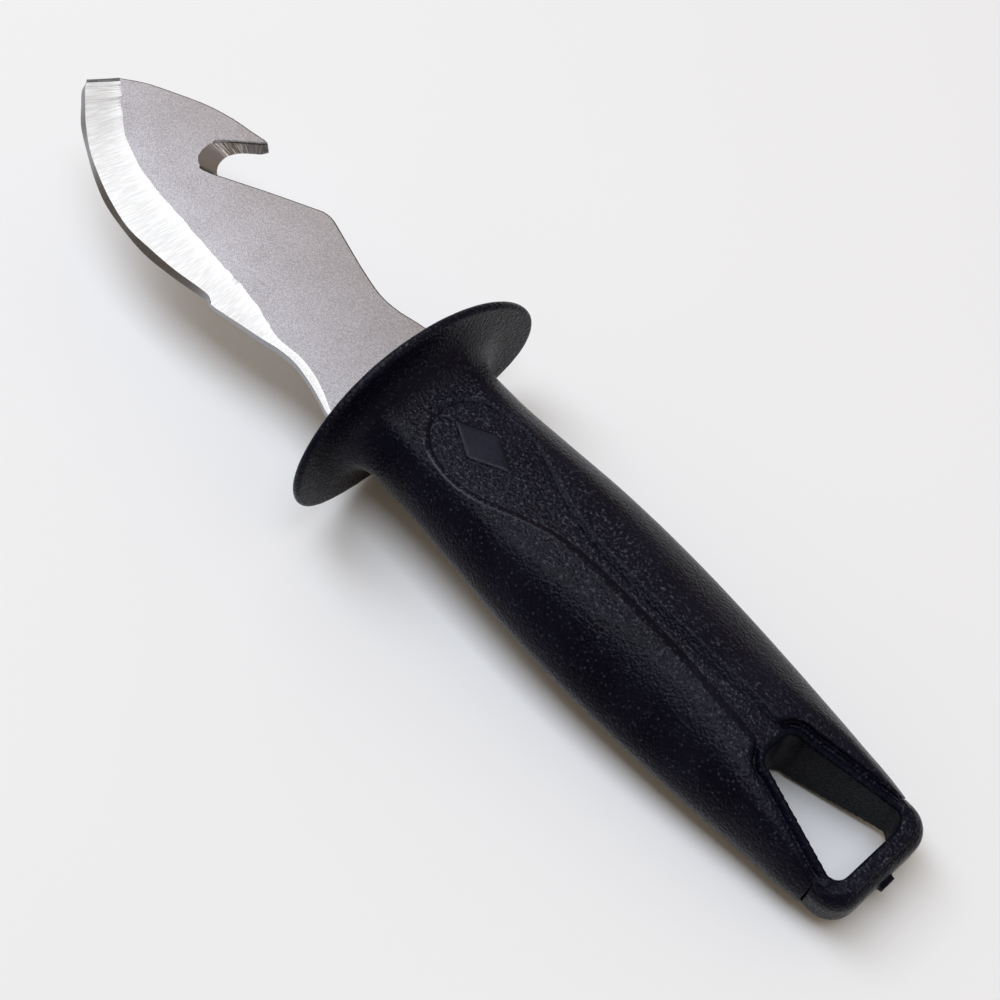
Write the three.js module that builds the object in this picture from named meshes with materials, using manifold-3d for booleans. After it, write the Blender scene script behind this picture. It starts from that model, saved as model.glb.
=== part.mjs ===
// Hoof knife with a hooked, single-bevel blade, a rigid handle core and a soft grip with an oval guard.
//
// Millimetres, +Z up. Every piece is drawn on the knife's own axis: x runs from the butt (-x) to the
// blade's tip (+x) with x = 0 at the guard, y points to the cutting edge and z goes through the blade's
// thickness. The finished knife is then laid down on the guard's lower rim and the belly of the grip.

import * as THREE from 'three';
import { mergeVertices } from 'three/addons/utils/BufferGeometryUtils.js';
import Module from 'manifold-3d';

const wasm = await Module();
wasm.setup();

// ---- driving dimensions ----------------------------------------------------------------------------

const CLEARANCE = 0.3; // gap kept between neighbouring pieces
const REST_TILT = THREE.MathUtils.degToRad(5.59); // blade raised while the knife lies on its guard

const BLADE_THICKNESS = 1.95;
const BLADE_EDGE_THICKNESS = 0.35;
const BLADE_ROOT_X = -2; // shoulders that seat on the core's front face

const TANG_LENGTH = 62;
const TANG_ROOT_HALF_WIDTH = 7.2;
const TANG_END_HALF_WIDTH = 4.8;
const TANG_HOLE_RADIUS = 2.4;
const TANG_HOLE_PLACES = [-14, -32, -50];

const GUARD_FRONT_X = 0.9;
const GUARD_RIM_THICKNESS = 1.6;
const GUARD_HALF_WIDTH = 24.95;
const GUARD_HALF_HEIGHT = 16.2;
const GUARD_BOW = 2.2; // how far the guard's two lobes sweep back

const GRIP_END_X = -98.8;
const GRIP_ROUNDNESS = 2.15; // superellipse exponent of the grip's section
const GRIP_SIDE_WALL = 3;
const GRIP_FACE_WALL = 2.2;

const CORE_FRONT_X = BLADE_ROOT_X - CLEARANCE;
const CORE_BODY_END_X = -78.5;
const WINDOW_RECESS = 0.45; // the core's window lies this far below the grip's surface

const HOLE_FRONT_X = -81.3;
const HOLE_BACK_X = -101.3;
const HOLE_FRONT_HALF_WIDTH = 3.6;
const HOLE_BACK_HALF_WIDTH = 7.4;
const HOLE_CORNER_RADIUS = 2;
const HOLE_LIP = 1.1; // width of the lip that stands round the lanyard hole

const BUTT_X = -105;
const BUTT_HALF_WIDTH = 10.6;
const BUTT_THICKNESS = 8.8;
const BUTT_CORNER_RADIUS = 4.5;
const BUTT_EDGE_ROUND = 0.9;
const GATE_STUB = { length: 0.8, width: 2.6, height: 1.8 };

const RADIAL_SEGMENTS = 36;
const GRIP_ROWS = 20;
const CURVE_DIVISIONS = 24;
const THROUGH_HEIGHT = 60; // taller than anything that a through cut passes

// ---- solids and booleans ---------------------------------------------------------------------------

function solid(geometry) {
  const bare = geometry.clone();
  bare.deleteAttribute('normal');
  bare.deleteAttribute('uv');
  const merged = mergeVertices(bare);
  return new wasm.Manifold(new wasm.Mesh({
    numProp: 3,
    vertProperties: new Float32Array(merged.attributes.position.array),
    triVerts: new Uint32Array(merged.index.array),
  }));
}

function geometryOf(manifold) {
  const mesh = manifold.getMesh();
  const geometry = new THREE.BufferGeometry();
  geometry.setAttribute('position', new THREE.BufferAttribute(new Float32Array(mesh.vertProperties), 3));
  geometry.setIndex(new THREE.BufferAttribute(new Uint32Array(mesh.triVerts), 1));
  geometry.computeVertexNormals();
  return geometry;
}

function points(pairs) {
  return pairs.map(([x, y]) => new THREE.Vector2(x, y));
}

function curvePoints(pairs, divisions = CURVE_DIVISIONS) {
  return new THREE.SplineCurve(points(pairs)).getPoints(divisions);
}

// A flat outline given thickness between two heights.
function slab(outline, bottom, top) {
  const shape = outline instanceof THREE.Shape ? outline : new THREE.Shape(outline);
  const geometry = new THREE.ExtrudeGeometry(shape, { depth: top - bottom, bevelEnabled: false });
  return geometry.translate(0, 0, bottom);
}

function throughSlab(outline) {
  return slab(outline, -THROUGH_HEIGHT / 2, THROUGH_HEIGHT / 2);
}

// A slab whose top outline differs from its bottom outline, point for point, so its walls are ruled.
function ruledSlab(bottomOutline, topOutline, bottom, top) {
  const geometry = slab(bottomOutline, bottom, top);
  const place = geometry.attributes.position;
  for (let i = 0; i < place.count; i += 1) {
    if (place.getZ(i) > (bottom + top) / 2) {
      const here = new THREE.Vector2(place.getX(i), place.getY(i));
      const distances = bottomOutline.map((corner) => corner.distanceToSquared(here));
      const match = topOutline[distances.indexOf(Math.min(...distances))];
      place.setXY(i, match.x, match.y);
    }
  }
  return geometry;
}

// Extends a line of points, raised from one height to another, by the same slope to a third height.
function carryOn(lower, upper, share) {
  return lower.map((point, i) => point.clone().lerp(upper[i], share));
}

// ---- blade -----------------------------------------------------------------------------------------

const BEAK_TIP = [53.6, -14.5];
const NOTCH_MOUTH = [53.8, -3.7];
const SPINE_SHOULDER = [36.3, -12.9];

// Lines along the blade, each from the tip towards the guard.
const CUTTING_EDGE = [
  [83.6, 3.4], [78.1, 7.5], [72.5, 10.6], [66.2, 13.2], [59.9, 15.1], [53.8, 15.9], [48.4, 16.1],
  [43.1, 15.4], [37.4, 14.2], [28.4, 11.7], [21.4, 10],
];
const BEVEL_TOP = [
  [82.6, -2.4], [75.7, 0.3], [70.2, 3.6], [64.7, 5.3], [59.8, 6.3], [52.9, 6.7], [45.9, 6.9],
  [38.6, 7.3], [32.9, 7.4], [26.5, 8.3], [21.4, 9.9],
];
const HEEL = [[21.4, 10], [17.2, 9.5], [11.1, 10.5], [6.2, 11.9], [0, 13.2]];
const SPINE = [[84.5, -0.6], [81, -3.8], [77.8, -6.3], [73, -8.9], [67.6, -11.5], [62.3, -13.2], [58, -14]];
const WAIST = [[34.4, -12.9], [28.3, -11.5], [22.9, -10.2], [17.7, -9.3], [13.5, -9.5], [8.7, -10.6], [0, -12.2]];

// The hook's throat is ground from the upper side, so it is wider at the top than at the bottom.
const THROAT_BOTTOM = [BEAK_TIP, [55.7, -11.3], [56.9, -9.7], [57.3, -7.9], [56.9, -6.1], [55.5, -4.6], NOTCH_MOUTH];
const THROAT_TOP = [BEAK_TIP, [58.1, -10], [59.6, -8.2], [60.1, -6.5], [59.6, -4.2], [57.6, -2.6], NOTCH_MOUTH];

function tangHalfWidth(x) {
  const share = (BLADE_ROOT_X - x) / (TANG_LENGTH + BLADE_ROOT_X);
  return THREE.MathUtils.lerp(TANG_ROOT_HALF_WIDTH, TANG_END_HALF_WIDTH, share);
}

function addTang(shape, grow) {
  const end = -TANG_LENGTH;
  const turn = tangHalfWidth(end);
  shape.lineTo(BLADE_ROOT_X - grow, TANG_ROOT_HALF_WIDTH + grow);
  shape.lineTo(end + turn / 2, turn + grow);
  shape.quadraticCurveTo(end - grow, turn + grow, end - grow, 0);
  shape.quadraticCurveTo(end - grow, -turn - grow, end + turn / 2, -turn - grow);
  shape.lineTo(BLADE_ROOT_X - grow, -TANG_ROOT_HALF_WIDTH - grow);
}

function addTangHoles(shape, radius) {
  for (const x of TANG_HOLE_PLACES) {
    shape.holes.push(new THREE.Path().absarc(x, 0, radius, 0, 2 * Math.PI, true));
  }
}

function bladeOutline() {
  const shape = new THREE.Shape();
  shape.setFromPoints([
    ...curvePoints(CUTTING_EDGE),
    ...curvePoints(HEEL, 10).slice(1),
  ]);
  shape.lineTo(BLADE_ROOT_X, HEEL.at(-1)[1]);
  addTang(shape, 0);
  shape.lineTo(BLADE_ROOT_X, WAIST.at(-1)[1]);
  for (const point of curvePoints(WAIST, 14).reverse()) {
    shape.lineTo(point.x, point.y);
  }
  shape.lineTo(...SPINE_SHOULDER);
  shape.lineTo(...BEAK_TIP);
  for (const point of curvePoints(SPINE, 16).reverse()) {
    shape.lineTo(point.x, point.y);
  }
  shape.quadraticCurveTo(85.8, 1.4, ...CUTTING_EDGE[0]);
  addTangHoles(shape, TANG_HOLE_RADIUS);
  return shape;
}

// The cutter that grinds the wide bevel, from the blade's upper face down to the thin cutting edge.
function bevelCutter() {
  const low = BLADE_EDGE_THICKNESS - BLADE_THICKNESS / 2;
  const overshoot = 1.2;
  const edge = curvePoints(CUTTING_EDGE);
  const inner = carryOn(edge, curvePoints(BEVEL_TOP), overshoot);
  const clear = points([[16, 40], [95, 40], [95, -4]]);
  const high = low + (BLADE_THICKNESS - BLADE_EDGE_THICKNESS) * overshoot;
  return ruledSlab([...edge, ...clear], [...inner, ...clear], low, high);
}

// The cutter that opens the hook's throat and the straight run of spine behind it.
function hookCutter() {
  const clear = points([SPINE_SHOULDER, [34, -24], [52.5, -24]]);
  const bottom = [...curvePoints(THROAT_BOTTOM, 18), ...clear];
  const top = [...curvePoints(THROAT_TOP, 18), ...clear];
  const half = BLADE_THICKNESS / 2;
  return ruledSlab(carryOn(top, bottom, 1.1), carryOn(bottom, top, 1.1), -1.2 * half, 1.2 * half);
}

function bladeGeometry() {
  const half = BLADE_THICKNESS / 2;
  const blank = solid(slab(bladeOutline(), -half, half));
  return geometryOf(blank.subtract(solid(bevelCutter())).subtract(solid(hookCutter())));
}

// The room that the tang takes inside the handle, with the core's keys left standing in its holes.
function tangRoom() {
  const half = BLADE_THICKNESS / 2 + CLEARANCE;
  const mouth = [HEEL.at(-1)[1] + CLEARANCE, WAIST.at(-1)[1] - CLEARANCE];
  const shape = new THREE.Shape();
  shape.moveTo(GUARD_FRONT_X + 4, mouth[0]);
  shape.lineTo(BLADE_ROOT_X - CLEARANCE, mouth[0]);
  addTang(shape, CLEARANCE);
  shape.lineTo(BLADE_ROOT_X - CLEARANCE, mouth[1]);
  shape.lineTo(GUARD_FRONT_X + 4, mouth[1]);
  addTangHoles(shape, TANG_HOLE_RADIUS - CLEARANCE);
  return solid(slab(shape, -half, half));
}

// ---- lofted handle bodies --------------------------------------------------------------------------

// Half width and half thickness of the grip along x, from its end to the neck behind the guard.
const GRIP_PROFILE = new THREE.CatmullRomCurve3([
  [GRIP_END_X, 11.3, 4.8], [-95.4, 11.75, 5.8], [-89.7, 12.1, 7.2], [-84.1, 12.7, 8.1],
  [-72.7, 13.85, 8.95], [-60.9, 14.6, 9.4], [-48.8, 14.9, 9.5], [-36.3, 14.6, 9.25],
  [-23.3, 13.7, 8.1], [-13.6, 13.1, 7.35], [-7.8, 13.1, 7.5],
].map(([x, width, thickness]) => new THREE.Vector3(x, width, thickness)));

function gripStations(count) {
  return GRIP_PROFILE.getPoints(count).map((p) => ({ x: p.x, width: p.y, thickness: p.z, bow: 0 }));
}

function interpolate(stations, x) {
  const after = Math.max(1, stations.findIndex((station) => station.x >= x));
  const [a, b] = [stations[after - 1], stations[after]];
  const share = (x - a.x) / (b.x - a.x);
  return {
    x,
    width: THREE.MathUtils.lerp(a.width, b.width, share),
    thickness: THREE.MathUtils.lerp(a.thickness, b.thickness, share),
    bow: 0,
  };
}

// The guard flares out of the neck like a hat brim, turns over its rim and closes across the front.
function guardStations() {
  const neck = gripStations(1).at(-1);
  const rear = GUARD_FRONT_X - GUARD_RIM_THICKNESS;
  const rise = (x, share) => ({
    x,
    width: THREE.MathUtils.lerp(neck.width, GUARD_HALF_WIDTH, share),
    thickness: THREE.MathUtils.lerp(neck.thickness, GUARD_HALF_HEIGHT, share),
    bow: GUARD_BOW,
  });
  return [
    rise(-4.6, 0.07), rise(-3, 0.2), rise(-1.9, 0.42), rise(-1.2, 0.7), rise(rear, 0.95),
    rise((rear + GUARD_FRONT_X) / 2, 1), rise(GUARD_FRONT_X, 0.95), rise(GUARD_FRONT_X, 0.3),
  ];
}

function roundPower(value, exponent) {
  return Math.sign(value) * Math.abs(value) ** (2 / exponent);
}

// Reshapes a cylinder into a body with a superellipse section at each station, listed from butt to front.
function loft(stations) {
  const rows = stations.length - 1;
  const geometry = new THREE.CylinderGeometry(1, 1, 1, RADIAL_SEGMENTS, rows);
  const place = geometry.attributes.position;
  for (let i = 0; i < place.count; i += 1) {
    const station = stations[Math.round((0.5 - place.getY(i)) * rows)];
    const y = station.width * roundPower(place.getX(i), GRIP_ROUNDNESS);
    const z = station.thickness * roundPower(place.getZ(i), GRIP_ROUNDNESS);
    place.setXYZ(i, station.x - station.bow * (y / GUARD_HALF_WIDTH) ** 2, y, z);
  }
  return geometry;
}

function thinner(stations, side, face) {
  return stations.map((station) => ({
    ...station,
    width: station.width - side,
    thickness: station.thickness - face,
  }));
}

// ---- lanyard hole, window and butt in plan ---------------------------------------------------------

function holeOutline(grow) {
  const front = HOLE_FRONT_X + grow;
  const back = HOLE_BACK_X - grow;
  const near = HOLE_FRONT_HALF_WIDTH + grow;
  const wide = HOLE_BACK_HALF_WIDTH + grow;
  const round = HOLE_CORNER_RADIUS + grow;
  const shape = new THREE.Shape();
  shape.moveTo(front, near - round);
  shape.quadraticCurveTo(front, near, front - round, near);
  shape.lineTo(back + round, wide);
  shape.quadraticCurveTo(back, wide, back, wide - round);
  shape.lineTo(back, round - wide);
  shape.quadraticCurveTo(back, -wide, back + round, -wide);
  shape.lineTo(front - round, -near);
  shape.quadraticCurveTo(front, -near, front, round - near);
  return shape;
}

// Half of the window in the grip: a teardrop by the guard that narrows into a channel to the hole.
const WINDOW_HALF = [
  [-8.2, 0], [-9.2, 3.6], [-12.5, 6.2], [-17.5, 7.2], [-22, 6.9], [-26.5, 5.6], [-31, 3.9], [-36, 2.4],
  [-41, 1.6], [-49, 1.3], [-60, 1.4], [-71, 1.9], [-82, 2.6],
];

function windowOutline(grow) {
  const half = curvePoints(WINDOW_HALF, 30);
  const away = half.map((point, i) => {
    const before = half[Math.max(i - 1, 0)];
    const after = half[Math.min(i + 1, half.length - 1)];
    const normal = i === 0 ? new THREE.Vector2(1, 0) : new THREE.Vector2(after.y - before.y, before.x - after.x);
    return point.clone().add(normal.normalize().multiplyScalar(grow));
  });
  const mirrored = away.slice(1).map((point) => new THREE.Vector2(point.x, -point.y)).reverse();
  return new THREE.Shape([...away, ...mirrored]);
}

function windowColumn(grow) {
  return solid(throughSlab(windowOutline(grow))).add(solid(throughSlab(holeOutline(HOLE_LIP + grow))));
}

// ---- pieces ----------------------------------------------------------------------------------------

function coreBody(grow) {
  const inner = thinner(gripStations(GRIP_ROWS), GRIP_SIDE_WALL - grow, GRIP_FACE_WALL - grow);
  const front = { ...inner.at(-1), x: CORE_FRONT_X + (grow > 0 ? grow : 0) };
  const back = interpolate(inner, CORE_BODY_END_X - grow);
  const kept = inner.filter((station) => station.x > back.x + 0.5);
  return solid(loft([back, ...kept, front]));
}

function buttBar() {
  const step = GRIP_END_X - CLEARANCE;
  const shoulder = HOLE_BACK_HALF_WIDTH - BUTT_EDGE_ROUND;
  const round = BUTT_CORNER_RADIUS - BUTT_EDGE_ROUND;
  const side = BUTT_HALF_WIDTH - BUTT_EDGE_ROUND;
  const front = step - BUTT_EDGE_ROUND;
  const end = BUTT_X + BUTT_EDGE_ROUND;
  const shape = new THREE.Shape();
  shape.moveTo(step + 2, shoulder);
  shape.lineTo(front, shoulder);
  shape.lineTo(front, side);
  shape.lineTo(end + round, side);
  shape.quadraticCurveTo(end, side, end, side - round);
  shape.lineTo(end, round - side);
  shape.quadraticCurveTo(end, -side, end + round, -side);
  shape.lineTo(front, -side);
  shape.lineTo(front, -shoulder);
  shape.lineTo(step + 2, -shoulder);
  const geometry = new THREE.ExtrudeGeometry(shape, {
    depth: BUTT_THICKNESS - 2 * BUTT_EDGE_ROUND,
    bevelThickness: BUTT_EDGE_ROUND,
    bevelSize: BUTT_EDGE_ROUND,
    bevelSegments: 2,
    curveSegments: 6,
  });
  return geometry.translate(0, 0, BUTT_EDGE_ROUND - BUTT_THICKNESS / 2);
}

function gateStub() {
  const { length, width, height } = GATE_STUB;
  return new THREE.BoxGeometry(2 * length, width, height).translate(BUTT_X, 0, 0);
}

function coreGeometry() {
  const skin = solid(loft(thinner(gripStations(GRIP_ROWS), WINDOW_RECESS, WINDOW_RECESS)));
  return geometryOf(coreBody(0)
    .add(skin.intersect(windowColumn(0)))
    .add(solid(buttBar()))
    .add(solid(gateStub()))
    .subtract(solid(throughSlab(holeOutline(0))))
    .subtract(tangRoom()));
}

function gripGeometry() {
  return geometryOf(solid(loft([...gripStations(GRIP_ROWS), ...guardStations()]))
    .subtract(coreBody(CLEARANCE))
    .subtract(windowColumn(CLEARANCE))
    .subtract(tangRoom()));
}

// ---- assembly --------------------------------------------------------------------------------------

function piece(name, geometry, color, roughness, metalness) {
  const mesh = new THREE.Mesh(geometry, new THREE.MeshStandardMaterial({ color, roughness, metalness }));
  mesh.name = name;
  return mesh;
}

const knife = new THREE.Group();
knife.add(
  piece('blade', bladeGeometry(), 0xb9b7b4, 0.32, 1),
  piece('handle_core', coreGeometry(), 0x17171b, 0.55, 0),
  piece('grip_with_guard', gripGeometry(), 0x1b1b20, 0.62, 0),
);
knife.rotation.y = -REST_TILT;

// The origin is on the ground, under the middle of the knife's box.
const part = new THREE.Group();
part.add(knife);
const box = new THREE.Box3().setFromObject(part, true);
const middle = box.getCenter(new THREE.Vector3());
knife.position.set(-middle.x, -middle.y, -box.min.z);

export default part;
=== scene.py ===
"""Looks of the hooked work knife: a ground steel blade, a rigid handle core and a soft grip with its guard.

Every piece is shaped in millimetres on the knife's own axis, as in the CAD: x runs from the butt to the
blade's tip with x = 0 at the guard, y points to the cutting edge and z goes through the blade's thickness.
One matrix then lays the pieces down in the frame. The two moulded pieces are distance fields meshed by a
surface net, so their edges and fillets are soft like mouldings; the blade is built face by face.
"""

import math

import bmesh
import bpy
import numpy as np
from mathutils import Matrix, Vector


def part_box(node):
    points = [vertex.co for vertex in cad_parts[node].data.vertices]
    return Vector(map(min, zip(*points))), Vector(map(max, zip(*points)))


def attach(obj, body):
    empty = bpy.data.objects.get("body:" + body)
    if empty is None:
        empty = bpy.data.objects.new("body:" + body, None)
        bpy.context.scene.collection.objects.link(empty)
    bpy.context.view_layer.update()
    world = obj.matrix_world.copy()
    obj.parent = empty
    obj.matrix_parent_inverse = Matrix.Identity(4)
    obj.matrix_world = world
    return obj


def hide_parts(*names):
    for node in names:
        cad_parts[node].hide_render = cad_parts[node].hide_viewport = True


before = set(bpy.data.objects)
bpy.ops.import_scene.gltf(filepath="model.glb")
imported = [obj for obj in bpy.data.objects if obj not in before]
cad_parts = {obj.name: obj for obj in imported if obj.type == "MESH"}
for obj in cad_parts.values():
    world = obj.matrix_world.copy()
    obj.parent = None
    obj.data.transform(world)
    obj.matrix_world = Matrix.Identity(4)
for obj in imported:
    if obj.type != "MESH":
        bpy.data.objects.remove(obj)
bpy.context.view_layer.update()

# ---- driving dimensions, in millimetres --------------------------------------------------------------

MM = 0.001
REST_TILT = math.radians(5.59)
JOIN_GAP = 0.03  # between a moulding and what it grips

BLADE_THICKNESS = 1.95
BLADE_HALF = BLADE_THICKNESS / 2
BLADE_ROOT_X = -2
BEVEL_ANGLE = math.radians(7.6)
BEVEL_LOSS_RANGE = (0.03, 1.1)  # least and most height that the wide bevel takes off
EASE = 0.17  # share of the wide bevel in which it eases out of the flat
EDGE_THICKNESS = 0.06
FOOT_HEIGHT = 0.25  # height of the upright foot below a slanting wall
STAMPED_ROUND = 0.3  # rounding of the stamped edges of the upper face
TANG_LENGTH = 62
TANG_ROOT_HALF_WIDTH = 7.2
TANG_END_HALF_WIDTH = 4.8
TANG_HOLE_RADIUS = 2.4
TANG_HOLE_PLACES = (-14, -32, -50)

GUARD_FRONT_X = 0.9
GUARD_RIM_THICKNESS = 1.6
GUARD_RIM_ROUND = 0.7
GUARD_HALF_WIDTH = 24.95
GUARD_HALF_HEIGHT = 16.2
GUARD_BOW = 2.2
GUARD_ROUNDNESS = 2.08  # superellipse exponent
GUARD_FILLET = 6.5

GRIP_END_X = -98.8
GRIP_END_ROUND = 0.12
GRIP_SIDE_WALL = 3
GRIP_FACE_WALL = 2.2
GRIP_HOLE_ROUND = 0.8  # rounding of the grip's edge beside the hole's groove
BEAD_HEIGHT = 0.09  # a faint bead where the grip's edge meets the window
BEAD_OUT = 0.8  # how far outside the window's line the bead runs
BEAD_HALF = 0.45
PAINTED_BEAD_HIGHLIGHT_X = (-38, -12.5)  # a strip of the bead is painted lighter as a highlight between these
PAINTED_BEAD_HIGHLIGHT_Y = 1.5  # and beyond this, on the side of the cutting edge
PAINTED_BEAD_HIGHLIGHT_WIDTH = 0.35

CORE_FRONT_X = BLADE_ROOT_X - 0.3
CORE_BODY_END_X = -78.5
FLANGE_DEPTH = 0.03  # how far the core's hidden flange lies below the grip's surface
FLANGE_HALF = 0.25  # half its thickness
FLANGE_WIDTH = 0.4  # how far it reaches under the grip's edge

HOLE_FRONT_X = -81.3
HOLE_BACK_X = -101.3
HOLE_FRONT_HALF_WIDTH = 3.6
HOLE_BACK_HALF_WIDTH = 7.4
HOLE_CORNER_RADIUS = 2.2
HOLE_SLANT = 1.1  # direction that the hole's slanting sides face, in quarter turns
HOLE_EDGE_ROUND = 0.35
HOLE_LIP = 1.15
HOLE_GROOVE = 0.75
GROOVE_DEPTH = 0.9
GROOVE_HALF = 0.42
GROOVE_FADE_Y = (1.9, 3.2)  # the groove fades in between these, beside the channel,
GROOVE_FADE_X = (-100, -98.5)  # and between these, in front of the butt

BUTT_X = -105
BUTT_HALF_WIDTH = 10.6
BUTT_HALF_THICKNESS = 4.4
BUTT_CORNER_RADIUS = 4.5
BUTT_EDGE_ROUND = 2.8
BUTT_BLEND = 0.8
BUTT_LAP = 1.5  # how far the lip round the hole runs on into the butt
BUTT_UNDER_GRIP = 4
STUB_X = -105.8
STUB_HALF_WIDTH = 1.3
STUB_HALF_HEIGHT = 0.9

RELIEF_X = -17.5
RELIEF_HALF_LENGTH = 6.4
RELIEF_HALF_WIDTH = 3.1
RELIEF_HEIGHT = 0.3
RELIEF_FALL = (-0.2, 0.25)  # its edge falls away between these distances from its outline

GRID_MARGIN = 1.1
NET_STEP = 0.28
SHORTEST = 1e-6  # an outline's step shorter than this is skipped


# ---- small mathematics -------------------------------------------------------------------------------


def smooth_curve(knots, values):
    """A smooth function through the values at the knots, which rise."""
    knots = np.asarray(knots, float)
    values = np.asarray(values, float)
    slopes = np.gradient(values, knots)

    def at(x):
        i = np.clip(np.searchsorted(knots, x) - 1, 0, len(knots) - 2)
        span = knots[i + 1] - knots[i]
        t = np.clip((x - knots[i]) / span, 0, 1)
        start = values[i] * (1 + 2 * t) * (1 - t) ** 2 + slopes[i] * span * t * (1 - t) ** 2
        end = values[i + 1] * t**2 * (3 - 2 * t) - slopes[i + 1] * span * t**2 * (1 - t)
        return start + end

    return at


def curve_points(corners, count):
    """count points along the smooth plan curve through the corners, evenly spread between them."""
    corners = np.asarray(corners, float)
    order = np.arange(len(corners))
    share = np.linspace(0, len(corners) - 1, count)
    return np.stack([smooth_curve(order, corners[:, axis])(share) for axis in (0, 1)], 1)


def smooth_step(low, high, x):
    t = np.clip((x - low) / (high - low), 0, 1)
    return t * t * (3 - 2 * t)


def smooth_min(a, b, radius):
    share = np.clip(0.5 + 0.5 * (b - a) / radius, 0, 1)
    return b + (a - b) * share - radius * share * (1 - share)


def smooth_max(a, b, radius):
    return -smooth_min(-a, -b, radius)


def rounded_meet(a, b, radius):
    """A field that is negative where both are, with the corner between them rounded to the radius."""
    outer = np.hypot(np.maximum(a + radius, 0), np.maximum(b + radius, 0))
    return outer + np.minimum(np.maximum(a, b) + radius, 0) - radius


def outline_distance(outline, x, y):
    """Signed distance in plan to a closed outline: negative inside."""
    nearest = np.full(np.broadcast(x, y).shape, np.inf)
    inside = np.zeros(nearest.shape, bool)
    for (ax, ay), (bx, by) in zip(outline, np.roll(outline, -1, axis=0)):
        dx, dy = bx - ax, by - ay
        length = dx * dx + dy * dy
        if length < SHORTEST**2:
            continue
        t = np.clip(((x - ax) * dx + (y - ay) * dy) / length, 0, 1)
        nearest = np.minimum(nearest, (x - ax - t * dx) ** 2 + (y - ay - t * dy) ** 2)
        if ay != by:
            inside ^= ((ay > y) != (by > y)) & (x < dx * (y - ay) / dy + ax)
    return np.where(inside, -1, 1) * np.sqrt(nearest)


# ---- the knife's place in the frame ------------------------------------------------------------------


def knife_to_row():
    """The matrix from the knife's own axes in millimetres to the row frame in metres."""
    cosine, sine = math.cos(REST_TILT), math.sin(REST_TILT)
    core_low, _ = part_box("handle_core")
    lift = GUARD_HALF_HEIGHT * cosine - (GUARD_FRONT_X - GUARD_RIM_THICKNESS / 2) * sine
    ahead = core_low.x / MM - (STUB_X * cosine - STUB_HALF_HEIGHT * sine)
    turn = Matrix.Rotation(-REST_TILT, 4, "Y")
    return Matrix.Translation((ahead * MM, 0, lift * MM)) @ turn @ Matrix.Scale(MM, 4)


TO_ROW = knife_to_row()


def in_row(points):
    matrix = np.array(TO_ROW)
    return np.asarray(points, float) @ matrix[:3, :3].T + matrix[:3, 3]


def add_piece(name, mesh, node):
    piece = bpy.data.objects.new(name, mesh)
    bpy.context.scene.collection.objects.link(piece)
    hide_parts(node)
    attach(piece, "root")


# ---- distance fields of the handle -------------------------------------------------------------------

# Half width and half thickness of the handle, from the grip's end to the neck behind the guard.
GRIP_X = [GRIP_END_X, -95.4, -89.7, -84.1, -72.7, -60.9, -48.8, -36.3, -23.3, -13.6, -7.8]
half_width = smooth_curve(GRIP_X, [11.3, 11.75, 12.1, 12.7, 13.85, 14.6, 14.9, 14.6, 13.7, 13.1, 13.1])
half_thickness = smooth_curve(GRIP_X, [5.0, 5.8, 7.2, 8.15, 8.95, 9.4, 9.5, 9.25, 8.1, 7.35, 7.5])

# The soft crease between the handle's arched face and its flank: how far out it lies, the face's bend, and
# the crease's rounding.
CREASE_X = [-99, -92, -86, -79, -70, -62, -54, -45, -35, -24, -12]
crease_out = smooth_curve(CREASE_X, [9.0, 9.0, 8.7, 7.4, 5.8, 5.7, 6.7, 8.0, 8.5, 8.3, 8.2])
FACE_BEND = [0.004, 0.005, 0.008, 0.012, 0.014, 0.014, 0.014, 0.013, 0.011, 0.007, 0.005]
face_bend = smooth_curve(CREASE_X, FACE_BEND)
crease_round = smooth_curve(CREASE_X, [0.6, 0.7, 0.8, 0.9, 1.0, 1.0, 1.0, 0.9, 0.9, 0.9, 0.9])

# Half of the window in the grip: a teardrop by the guard that narrows into a channel to the hole.
WINDOW_HALF = [
    (-8.2, 0), (-9.2, 3.6), (-12.5, 6.2), (-17.5, 7.2), (-22, 6.9), (-26.5, 5.6), (-31, 3.9), (-36, 2.4),
    (-41, 1.6), (-49, 1.3), (-60, 1.4), (-71, 1.9), (-82, 2.6),
]
WINDOW_POINTS = 90

# How deep the window lies below the grip, and half the width of the slope down to it.
WINDOW_X = [-83, -76, -50, -34, -22, -8]
window_recess = smooth_curve(WINDOW_X, [0.6, 0.6, 0.5, 0.36, 0.19, 0.17])
step_half = smooth_curve(WINDOW_X, [0.6, 0.75, 0.75, 0.6, 0.42, 0.42])

# Height of the level rim round the hole.
lip_height = smooth_curve([-102, -82, -70], [4.3, 7.35, 9.2])


def window_outline():
    half = curve_points(WINDOW_HALF, WINDOW_POINTS)
    return np.concatenate([half, half[:0:-1] * (1, -1)])


def corner(centre, radius, start, end, count=9):
    """An arc in plan, with its angles in quarter turns."""
    turn = np.linspace(start, end, count) * math.pi / 2
    return np.stack([centre[0] + radius * np.cos(turn), centre[1] + radius * np.sin(turn)], 1)


def hole_outline():
    round_, near, wide = HOLE_CORNER_RADIUS, HOLE_FRONT_HALF_WIDTH, HOLE_BACK_HALF_WIDTH
    upper = np.concatenate([
        corner((HOLE_FRONT_X - round_, near - round_), round_, 0, HOLE_SLANT),
        corner((HOLE_BACK_X + round_, wide - round_), round_, HOLE_SLANT, 2),
    ])
    return np.concatenate([upper, upper[::-1] * (1, -1)])


def butt_outline():
    round_ = BUTT_CORNER_RADIUS
    upper = np.concatenate([
        [(GRIP_END_X + BUTT_UNDER_GRIP, BUTT_HALF_WIDTH)],
        corner((BUTT_X + round_, BUTT_HALF_WIDTH - round_), round_, 1, 2),
    ])
    return np.concatenate([upper, upper[::-1] * (1, -1)])


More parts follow.
